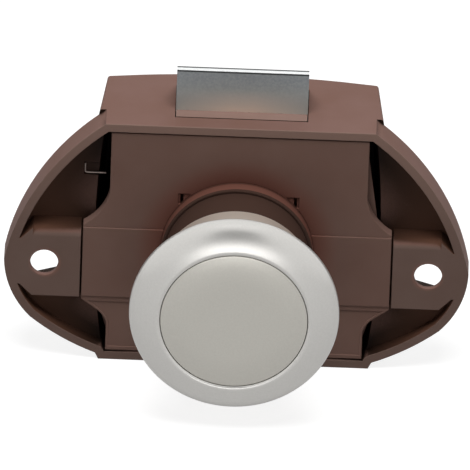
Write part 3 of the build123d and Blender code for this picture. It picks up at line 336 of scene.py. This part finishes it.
# %% Metal shader
def metal(name, low, high, roughness, depth_mm, grain_size=0.3, share=1.0, paint=unpainted):
    finish, tree = new_finish(name)
    speckle = noise(tree, grain_size, detail=3.0)
    shader = add_node(tree, "BsdfPrincipled", {
        "Base Color": paint(tree, blend(tree, speckle, low, high)),
        "Metallic": share,
        "Roughness": roughness,
        "Normal": grain_bump(tree, speckle, depth_mm, strength=0.4),
    })
    add_node(tree, "OutputMaterial", {"Surface": shader.outputs["BSDF"]})
    return finish


# %% Painted shade of the bolt and the sleeve
bolt_points = [vertex.co / MM for vertex in frame["nodes"]["steel_bolt"].data.vertices]
CREST = max(point.z for point in bolt_points)
CREST_BACK = max(point.y for point in bolt_points if point.z > CREST - 0.3)
CREST_START = (CREST - 0.4, CREST - 0.34)
CREST_WHITE = (CREST - 0.12, CREST - 0.06)
CREST_DARK_BACK = (CREST_BACK - 0.6, CREST_BACK - 0.5)
FOOT_PALES = (TOP_FACE + 6, TOP_FACE)
FOOT_WARMS = (TOP_FACE + 4.2, TOP_FACE)
MIDDLE_WARMS = (11, 2)
SLEEVE_START = (-20.9, -20.7)
print("crest at", round(CREST, 2), "its back at", round(CREST_BACK, 2))


def painted_bolt(tree, colour):
    """A white crest between two dark lines, and a paler foot that is warmer in the middle."""
    axes = place_axes(tree)
    paled = mixed(tree, ramp_mm(tree, axes["Z"], *FOOT_PALES), colour, "B0B3AE")
    low = ramp_mm(tree, axes["Z"], *FOOT_WARMS)
    inward = ramp_mm(tree, from_middle(tree, axes), *MIDDLE_WARMS)
    warmed = mixed(tree, calculated(tree, "MULTIPLY", low, inward), paled, "D8C8B9")
    # One dark line lies under the white of the crest, and the other along its back
    top = mixed(tree, ramp_mm(tree, axes["Z"], *CREST_WHITE), "2E3031", "F6F8F8")
    crest = mixed(tree, ramp_mm(tree, axes["Y"], *CREST_DARK_BACK), top, "3C3F41")
    return mixed(tree, ramp_mm(tree, axes["Z"], *CREST_START), warmed, crest)


def painted_sleeve(tree, colour):
    """Lighter and warmer on the sleeve behind the flange."""
    return mixed(tree, ramp_mm(tree, place_axes(tree)["Y"], *SLEEVE_START), colour, "ECDFD2")


# %% Metal finishes
NICKEL = {"roughness": 0.3, "depth_mm": 0.002, "share": 0.62}

pearl_nickel = metal("pearl_satin_nickel", "C6C3BB", "CBC8C0", **NICKEL)
rosette_nickel = metal(
    "pearl_satin_nickel_rosette", "D3D1CD", "D8D6D2", paint=painted_sleeve, **NICKEL,
)
blue_zinc = metal(
    "blue_zinc_sheet", "868C90", "989DA0",
    roughness=0.34, depth_mm=0.003, grain_size=0.35, share=0.4, paint=painted_bolt,
)
dull_wire = metal("oiled_spring_wire", "A09088", "AC9C94", roughness=0.4, depth_mm=0.001, share=0.5)
bright_wire = metal("drawn_spring_wire", "9E9E9C", "AEAEAC", roughness=0.25, depth_mm=0.001)
bright_zinc = metal("bright_zinc_screw", "B0AEA6", "BCBAB2", roughness=0.3, depth_mm=0.001)

# %% [markdown]
# ## Acetal
# None of the plastic pieces inside can be seen in the photograph. They are taken to be acetal,
# a slippery plastic that is milky white where it is left natural and black where soot is mixed
# in, and to come out of a polished mould. They could share the brown plastic's shader, but a
# polished mould prints no grain, so they have their own, with more gloss and a fainter bump.

# %% Acetal
def acetal(name, low, high, roughness):
    finish, tree = new_finish(name)
    cloud = noise(tree, size_mm=6)
    shader = add_node(tree, "BsdfPrincipled", {
        "Base Color": blend(tree, cloud, low, high, start=0.35, end=0.65),
        "Roughness": roughness,
        "Normal": grain_bump(tree, noise(tree, size_mm=0.5), depth_mm=0.004, strength=0.4),
    })
    add_node(tree, "OutputMaterial", {"Surface": shader.outputs["BSDF"]})
    return finish


black_acetal = acetal("black_acetal", "222020", "2A2828", roughness=0.4)
white_acetal = acetal("natural_acetal", "D8D4C8", "DEDACE", roughness=0.35)
print("acetals", black_acetal.name, white_acetal.name)

# %% [markdown]
# ## A finish for every piece
# Seven pieces show in the photograph, and the back shows its four screws too. All others are
# hidden inside. They could stay grey, but they get a finish as well, because they show as soon
# as the lock is opened or cut through.

# %% Finish of every CAD node
node_finishes = {
    "housing": housing_brown,
    "front_cover": cover_brown,
    "cover_screws": bright_zinc,
    "rosette": rosette_nickel,
    "button_cap": pearl_nickel,
    "button_core": black_acetal,
    "core_screw": bright_zinc,
    "plunger_shaft": white_acetal,
    "drive_pins": bright_zinc,
    "button_spring": bright_wire,
    "spring_washer": bright_zinc,
    "retractor_slide": white_acetal,
    "latch_track": black_acetal,
    "latch_follower": bright_wire,
    "follower_spring": bright_wire,
    "slot_wire": dull_wire,
    "bolt_carrier": lightened_slide_brown,
    "steel_bolt": blue_zinc,
    "bolt_rivets": bright_zinc,
    "bolt_spring_left": bright_wire,
    "bolt_spring_right": bright_wire,
}
for name, finish in node_finishes.items():
    node_mesh = frame["nodes"][name].data
    node_mesh.materials.clear()
    node_mesh.materials.append(finish)
print("nodes left without a finish:", sorted(set(frame["nodes"]) - set(node_finishes)))

# %% [markdown]
# ## Edges that catch the light
# A moulded edge is never sharp: the tool has a small radius there, and it shows as a thin line
# of light. Most edges of the CAD mesh are knife edges. They could be rounded by a Bevel node in
# the material, but then the mesh itself would stay sharp. So each brown piece is a copy of its
# CAD mesh, with its flat triangles joined into whole faces, and its outer edges bevelled.

# %% Copies with rounded edges
SAME_POINT = 0.002 * MM
FACET = math.radians(1)
SHARP = math.radians(24)
CREASE = math.radians(52)


def cad_copy(node):
    """The node's mesh with its doubled corners merged."""
    shape = bmesh.new()
    shape.from_mesh(frame["nodes"][node].data)
    bmesh.ops.remove_doubles(shape, verts=shape.verts, dist=SAME_POINT)
    return shape


def merged_copy(node):
    """The same, with its flat triangles joined into faces."""
    shape = cad_copy(node)
    bmesh.ops.dissolve_limit(shape, angle_limit=FACET, verts=shape.verts, edges=shape.edges)
    return shape


def outer_edges(shape, wanted=lambda edge: True):
    """Edges where two faces meet at an outward corner."""
    return [
        edge for edge in shape.edges
        if len(edge.link_faces) == 2 and edge.calc_face_angle_signed() > SHARP and wanted(edge)
    ]


def round_edges(shape, edges, radius_mm, segments=3):
    bmesh.ops.bevel(
        shape, geom=edges, offset=radius_mm * MM, segments=segments, affect="EDGES",
        profile=0.5, material=-1, clamp_overlap=False,
    )


def smooth_faces(shape):
    """Smooth shading that still breaks at real corners."""
    for face in shape.faces:
        face.smooth = True
    for edge in shape.edges:
        edge.smooth = len(edge.link_faces) == 2 and edge.calc_face_angle() < CREASE


def finished_piece(name, shape, node):
    """Puts the mesh in the scene in place of its CAD node, riding on the same body."""
    smooth_faces(shape)
    mesh = bpy.data.meshes.new(name)
    shape.to_mesh(mesh)
    shape.free()
    mesh.materials.append(node_finishes[node])
    piece = bpy.data.objects.new(name, mesh)
    bpy.context.scene.collection.objects.link(piece)
    weighted = piece.modifiers.new("even_shading", "WEIGHTED_NORMAL")
    weighted.keep_sharp = True
    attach(piece, node_body[node])
    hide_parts(node)
    print(name, len(mesh.polygons), "faces")
    return piece


node_body = {
    node: body
    for body, nodes in frame["record"]["behaviour"]["bodies"].items()
    for node in nodes
}

# %% Housing
WING_DEPTH = 5.2
HOUSING_EDGE, COVER_EDGE, CARRIER_EDGE = 0.12, 0.14, 0.08


def in_front(edge):
    """Edges of the wings and the rim. The box behind them has its own rounds in the CAD."""
    return max(vertex.co.y for vertex in edge.verts) < (WING_DEPTH - 0.1) * MM


shell = merged_copy("housing")
round_edges(shell, outer_edges(shell, in_front), HOUSING_EDGE)
finished_piece("housing_shell", shell, "housing")

# %% Front cover
plate = merged_copy("front_cover")
round_edges(plate, outer_edges(plate), COVER_EDGE)
finished_piece("cover_plate", plate, "front_cover")

# %% Bolt carrier
slide = merged_copy("bolt_carrier")
round_edges(slide, outer_edges(slide), CARRIER_EDGE, segments=2)
finished_piece("carrier_slide", slide, "bolt_carrier")

# %% [markdown]
# ## The folded bolt
# The bolt is drawn as one strip of sheet steel, folded over a plastic nose. The outside of a
# fold is a round, and a cut edge is nearly sharp. One bevel for all edges would make them look
# alike. So the folds, which are the long edges that run across the bolt, get a wide bevel, and
# the other edges over a millimetre long get one of a hair's width.

# %% Steel bolt
FOLD_R, FOLD_LENGTH = 0.22, 15
CUT_R, CUT_LENGTH = 0.06, 1


def is_fold(edge):
    along = edge.verts[0].co - edge.verts[1].co
    return abs(along.x) > FOLD_LENGTH * MM


def is_cut(edge):
    return not is_fold(edge) and edge.calc_length() > CUT_LENGTH * MM


sheet = merged_copy("steel_bolt")
round_edges(sheet, outer_edges(sheet, is_fold), FOLD_R, segments=6)
round_edges(sheet, outer_edges(sheet, is_cut), CUT_R, segments=2)
finished_piece("bolt_sheet", sheet, "steel_bolt")

# %% [markdown]
# ## Bolt springs
# When the door slams, the bolt is pushed down against two coil springs that stand on the
# slide. Their foot stays on the slide and their top follows the bolt. A real coil closes its
# gaps and keeps its wire's thickness. Here each one is a copy of its CAD mesh that rides on
# its body. The springs stand inside the housing, out of sight.


for node in ("bolt_spring_left", "bolt_spring_right"):
    spring = finished_piece(node + "_coil", cad_copy(node), node)
    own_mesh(spring)

# %% [markdown]
# ## Turned shapes
# The button and the rosette are round, so each is one profile spun about the button's axis.
# The CAD profile, with its arcs and straight chamfers, could be spun as it is. Here each slope
# is one smooth curve and the outer corners are small arcs, because they draw the highlights
# that the eye reads as soft metal.

# %% Rounded profiles
SPIN_STEPS = 128


def rounded_corner(before, corner, after, radius, count=6):
    """Points of the arc that replaces a corner of the profile."""
    inward, outward = (before - corner).normalized(), (after - corner).normalized()
    half = inward.angle(outward) / 2
    run = min(radius / math.tan(half), (before - corner).length / 2, (after - corner).length / 2)
    centre = corner + (inward + outward).normalized() * (run / math.cos(half))
    start, end = corner + inward * run - centre, corner + outward * run - centre
    turn_angle = start.angle(end)
    points = []
    for number in range(count + 1):
        share = number / count
        weights = math.sin((1 - share) * turn_angle), math.sin(share * turn_angle)
        points.append(centre + (start * weights[0] + end * weights[1]) / math.sin(turn_angle))
    return points


def turned(profile):
    """Closed profile of (radius, depth, corner radius) in millimetres, spun about the Y axis."""
    corners = [(Vector((radius, depth, 0)) * MM, corner * MM) for radius, depth, corner in profile]
    points = []
    for number, (corner, radius) in enumerate(corners):
        if radius == 0:
            points.append(corner)
            continue
        before, after = corners[number - 1][0], corners[(number + 1) % len(corners)][0]
        points.extend(rounded_corner(before, corner, after, radius))
    shape = bmesh.new()
    chain = [shape.verts.new(point) for point in points]
    for number, vertex in enumerate(chain):
        shape.edges.new((vertex, chain[(number + 1) % len(chain)]))
    bmesh.ops.spin(
        shape, geom=shape.verts[:] + shape.edges[:], cent=(0, 0, 0), axis=(0, 1, 0),
        angle=math.tau, steps=SPIN_STEPS, use_merge=True,
    )
    bmesh.ops.remove_doubles(shape, verts=shape.verts, dist=SAME_POINT)
    loose = [edge for edge in shape.edges if not edge.link_faces]
    bmesh.ops.delete(shape, geom=loose, context="EDGES")
    bmesh.ops.recalc_face_normals(shape, faces=shape.faces)
    return shape


def soft_curve(start, pull, push, end, count=16):
    """Corners of a smooth curve from start to end, drawn towards pull and push on the way."""
    knots = [Vector((*point, 0)) for point in (start, pull, push, end)]
    return [(point.x, point.y, 0) for point in interpolate_bezier(*knots, count)]


# %% Rosette
def box_mm(node):
    low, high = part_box(node)
    return [value / MM for value in low], [value / MM for value in high]


rosette_low, rosette_high = box_mm("rosette")
cap_low, cap_high = box_mm("button_cap")
FLANGE_R = rosette_high[0]
FLANGE_FRONT = rosette_low[1]
FLANGE_HEIGHT = 3.95
SLEEVE_R, SLEEVE_END = 12.8, rosette_high[1]
GAP_TO_BUTTON = 0.09
BORE_R = cap_high[0] + GAP_TO_BUTTON
DOOR_FACE = FLANGE_FRONT + FLANGE_HEIGHT
LIP_DROP, LIP_ROUND = 0.24, 0.2
BRIM_ROUND = 0.5
END_ROUND = 0.1

shoulder = soft_curve(
    start=(BORE_R + 0.35, FLANGE_FRONT + 0.02),
    pull=(BORE_R + 2.5, FLANGE_FRONT + 0.5),
    push=(FLANGE_R - 0.15, DOOR_FACE - 2.4),
    end=(FLANGE_R, DOOR_FACE - 1.0),
)
ring = turned([
    (BORE_R, FLANGE_FRONT + LIP_DROP, LIP_ROUND),
    *shoulder,
    (FLANGE_R, DOOR_FACE, BRIM_ROUND),
    (SLEEVE_R, DOOR_FACE, 0),
    (SLEEVE_R, SLEEVE_END, END_ROUND),
    (BORE_R, SLEEVE_END, END_ROUND),
])
finished_piece("rosette_ring", ring, "rosette")

# %% Button
BUTTON_R = cap_high[0]
CAP_FRONT = cap_low[1]
CAP_THICKNESS = 2.0
CAP_FLOOR = CAP_FRONT + CAP_THICKNESS
SKIRT, SKIRT_END = 1.0, cap_high[1]
RIM_DROP, RIM_ROUND = 0.52, 0.1

fall = soft_curve(
    start=(BUTTON_R - 5.2, CAP_FRONT),
    pull=(BUTTON_R - 3.4, CAP_FRONT),
    push=(BUTTON_R - 1.8, CAP_FRONT + 0.17),
    end=(BUTTON_R - 0.45, CAP_FRONT + 0.44),
)
dome = turned([
    (0, CAP_FRONT, 0),
    *fall,
    (BUTTON_R, CAP_FRONT + RIM_DROP, RIM_ROUND),
    (BUTTON_R, SKIRT_END, END_ROUND),
    (BUTTON_R - SKIRT, SKIRT_END, END_ROUND),
    (BUTTON_R - SKIRT, CAP_FLOOR, 0),
    (0, CAP_FLOOR, 0),
])
finished_piece("button_dome", dome, "button_cap")

# %% [markdown]
# ## Studio
# The lock stands on white paper. A lamp hangs above it, another stands behind, and a third stands
# low in front. The paper could be lit until it is white, but then it would throw that light back
# on the lock. So it glows for the camera and in reflections only. The lamps above and behind are
# kept out of reflections, and a dark card hangs behind the camera, to bring the nickel's
# highlights closer to the photograph's. A faint even light comes from the sky, which looks
# white to the camera and in reflections.

# %% Sheets
def studio_sheet(name, half_size):
    """Square sheet that belongs to the studio and not to the lock."""
    mesh = bpy.data.meshes.new(name)
    grid = bmesh.new()
    bmesh.ops.create_grid(grid, x_segments=1, y_segments=1, size=half_size)
    grid.to_mesh(mesh)
    grid.free()
    sheet = bpy.data.objects.new(name, mesh)
    bpy.context.scene.collection.objects.link(sheet)
    return sheet


def face_the_lock(thing, position):
    thing.location = position
    thing.rotation_mode = "QUATERNION"
    thing.rotation_quaternion = (-Vector(position)).to_track_quat("-Z", "Y")


def ray_strength(tree, spread, camera, mirrored):
    """One brightness for light that spreads, one for the camera and one for mirror-like rays."""
    path = add_node(tree, "LightPath").outputs
    mirror = calculated(tree, "MAXIMUM", path["Is Glossy Ray"], path["Is Transmission Ray"])
    unseen = add_node(tree, "MapRange", {"Value": mirror, "To Min": spread, "To Max": mirrored})
    return add_node(tree, "MapRange", {
        "Value": path["Is Camera Ray"], "To Min": unseen.outputs["Result"], "To Max": camera,
    }).outputs["Result"]


# %% Paper, card and sky
WHITE = (1, 1, 1, 1)
FLOOR_HALF_SIZE = 1.5
FLOOR_GAP = 0.05
CARD_HALF_SIZE = 1.15
CARD_PLACE = (0.0, -3.85, 2.15)

floor = studio_sheet("studio_floor", FLOOR_HALF_SIZE)
floor.location.z = cad_bounds[0][2] - FLOOR_GAP * MM
floor_finish, tree = new_finish("white_paper")
paper = add_node(tree, "BsdfDiffuse", {"Color": linear("9A9A9A")})
paper_glow = ray_strength(tree, spread=0.0, camera=0.85, mirrored=0.5)
glow = add_node(tree, "Emission", {"Color": WHITE, "Strength": paper_glow})
both = add_node(tree, "AddShader", {0: paper.outputs[0], 1: glow.outputs[0]})
add_node(tree, "OutputMaterial", {"Surface": both.outputs[0]})
floor.data.materials.append(floor_finish)

# The card's reflection is the dark band on the rosette's shoulder
card = studio_sheet("black_card", CARD_HALF_SIZE)
face_the_lock(card, CARD_PLACE)
card_finish, tree = new_finish("black_velvet")
velvet = add_node(tree, "BsdfDiffuse", {"Color": linear("2C2C2C")})
add_node(tree, "OutputMaterial", {"Surface": velvet.outputs[0]})
card.data.materials.append(card_finish)

world = bpy.data.worlds.new("studio_world")
bpy.context.scene.world = world
world.use_nodes = True
tree = world.node_tree
tree.nodes.clear()
sky_glow = ray_strength(tree, spread=0.12, camera=1.0, mirrored=1.0)
sky = add_node(tree, "Background", {"Color": WHITE, "Strength": sky_glow})
add_node(tree, "OutputWorld", {"Surface": sky.outputs[0]})

# %% Lamps
def area_lamp(name, position, size, power, mirrored=True):
    data = bpy.data.lights.new(name, "AREA")
    data.shape = "RECTANGLE"
    data.size, data.size_y = size
    data.energy = power
    lamp = bpy.data.objects.new(name, data)
    bpy.context.scene.collection.objects.link(lamp)
    face_the_lock(lamp, position)
    lamp.visible_glossy = mirrored
    print(name, power, "W")


area_lamp("window_light", position=(0.0, 0.75, 0.47), size=(0.9, 0.25), power=1.2, mirrored=False)
area_lamp("overhead", position=(0.0, -0.175, 0.575), size=(0.4, 0.25), power=3.25, mirrored=False)
area_lamp("front_lamp", position=(0.0, -0.9, 0.04), size=(0.5, 0.2), power=1.0)

bpy.context.scene.view_settings.view_transform = "Standard"
